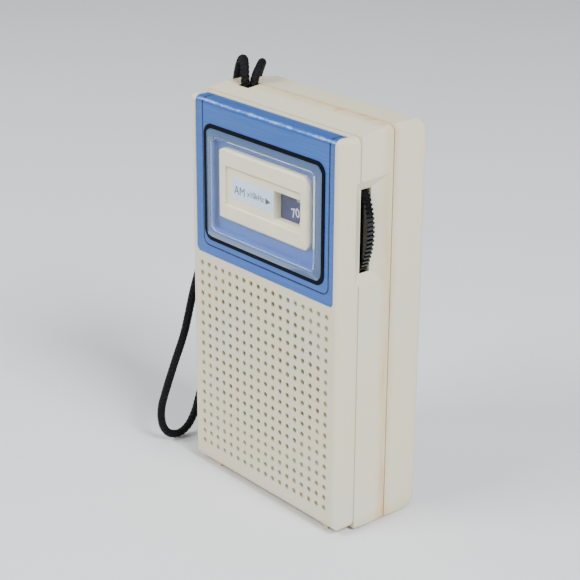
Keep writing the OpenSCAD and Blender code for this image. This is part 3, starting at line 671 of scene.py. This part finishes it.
def braided_strap():
    """Eight strands over and under each other round a core, four winding each way."""
    sides, step = 32, 0.16
    strands, pitch = 4, 5.2
    core, relief, lowest, weave = 0.86, 0.14, -0.4, 0.35
    line, length = smooth_line(STRAP_MM, step)
    radius = STRAP_D / 2
    vertices, faces = [], []
    for i, (p, (u, v)) in enumerate(zip(line, frames_along(line))):
        phase = 2 * math.pi * i * step / pitch
        for k in range(sides):
            angle = 2 * math.pi * k / sides
            right = math.cos(strands * (angle - phase))
            left = math.cos(strands * (angle + phase))
            over = weave * math.cos(strands * angle) * math.cos(strands * phase)
            lift = max(right + over, left - over, lowest)
            r = radius * (core + relief * lift)
            vertices.append(
                (p + u * (r * math.cos(angle)) + v * (r * math.sin(angle))) * MM)
    rings = len(line)
    for i in range(rings - 1):
        for k in range(sides):
            a, b = i * sides + k, i * sides + (k + 1) % sides
            faces.append((a, b, b + sides, a + sides))
    faces.append(tuple(reversed(range(sides))))
    faces.append(tuple(range((rings - 1) * sides, rings * sides)))
    strap = mesh_object("strap", vertices, faces, FINISH["cord_braid"])
    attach(strap, "case")
    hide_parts("strap_cord")
    length * MM
    [tuple(p * MM) for p in line[::4]] + [tuple(line[-1] * MM)]


braided_strap()


# ---- print on the label and the dial ---------------------------------------------------
def label_print():
    """What the pale label says, and the arrow that points at the dial."""
    ink = plain_plastic(
        "label_ink", linear(14, 20, 46), rough=0.45, drift=0.2, grain=0.004, soften=0.0)
    y = LABEL_FRONT_Y - INK_LIFT
    words = [
        lettering("label_am", "AM", 3.3, (-9.5, y, 85.4), ink, stretch=0.96),
        lettering("label_scale", "x10kHz", 2.3, (-3.0, y, 85.6), ink, bold=0.012, stretch=0.94)]
    tail_x, tip_x, arrow_z, arrow_half = 1.0, 3.0, 85.5, 0.9
    corners = [
        (tail_x, arrow_z + arrow_half), (tip_x, arrow_z), (tail_x, arrow_z - arrow_half)]
    arrow = mesh_object(
        "label_arrow",
        [(x * MM, side * MM, z * MM) for side in (y, y + 2 * INK_LIFT) for x, z in corners],
        [(0, 2, 1), (3, 4, 5), (0, 1, 4, 3), (1, 2, 5, 4), (2, 0, 3, 5)], ink, smooth=False)
    for piece in words + [arrow]:
        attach(piece, "case")


def dial_numerals():
    """Numerals round the disc, each by its angle past 70, which shows in the opening at rest."""
    ink = plain_plastic("numeral_ink", linear(222, 218, 240), drift=0.05, grain=0.004, soften=0.0)
    angle_of_70 = math.radians(193.75)
    degrees_past_70 = {
        "54": -67, "60": -38, "70": 0, "80": 45, "100": 95, "120": 135, "140": 168, "160": 198}
    ring_r, size, wide, narrow = 6.2, 3.4, 0.98, 0.7
    for number, degrees in degrees_past_70.items():
        angle = angle_of_70 - math.radians(degrees)
        x = DIAL[0] + ring_r * math.cos(angle)
        z = DIAL[1] + ring_r * math.sin(angle)
        piece = lettering(
            "numeral_" + number, number, size, (x, DISC_FRONT_Y - INK_LIFT, z), ink,
            turn=math.pi - angle, bold=0.01, stretch=wide if len(number) < 3 else narrow)
        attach(piece, "dial")


label_print()
dial_numerals()


# ---- floor and light -------------------------------------------------------------------
def studio():
    """Pale paper floor, a cool dim sky and four soft lamps."""
    s = Shader("floor_paper")
    s.set(
        colour=s.mix(s.noise(0.004, 3.0, 0.5), linear(226, 228, 232), linear(236, 237, 240)),
        rough=0.85, specular=0.2)
    s.bump(s.noise(1.2, 3.0, 0.6), 0.05)
    half = 3.0
    middle = Vector((0.0, 0.0, 0.05))
    floor = mesh_object(
        "floor", [(-half, -half, 0), (half, -half, 0), (half, half, 0), (-half, half, 0)],
        [(0, 1, 2, 3)], s.material, smooth=False)
    world = bpy.data.worlds.new("world")
    bpy.context.scene.world = world
    world.use_nodes = True
    background = world.node_tree.nodes["Background"]
    background.inputs["Color"].default_value = (0.8, 0.89, 1.0, 1.0)
    background.inputs["Strength"].default_value = 0.22

    def lamp(name, place, size, power, colour):
        """Soft lamp, aimed at the middle of the radio; places in metres."""
        data = bpy.data.lights.new(name, "AREA")
        data.shape = "RECTANGLE"
        data.size, data.size_y = size
        data.energy = power
        data.color = colour
        obj = bpy.data.objects.new(name, data)
        bpy.context.scene.collection.objects.link(obj)
        obj.location = place
        obj.rotation_mode = "QUATERNION"
        obj.rotation_quaternion = (middle - Vector(place)).to_track_quat("-Z", "Y")

    lamp("key", (-0.25, -0.8, 0.8), (0.5, 0.35), 9.6, (1.0, 0.985, 0.96))
    lamp("fill", (0.95, -0.1, 0.9), (0.45, 0.45), 22.0, (0.96, 0.98, 1.0))
    lamp("top", (-0.1, 0.35, 1.1), (0.8, 0.5), 3.0, (1.0, 0.99, 0.97))
    # glints along the edges of the window
    lamp("strip", (-0.95, -0.52, 0.78), (0.5, 0.12), 3.0, (1.0, 1.0, 1.0))


studio()
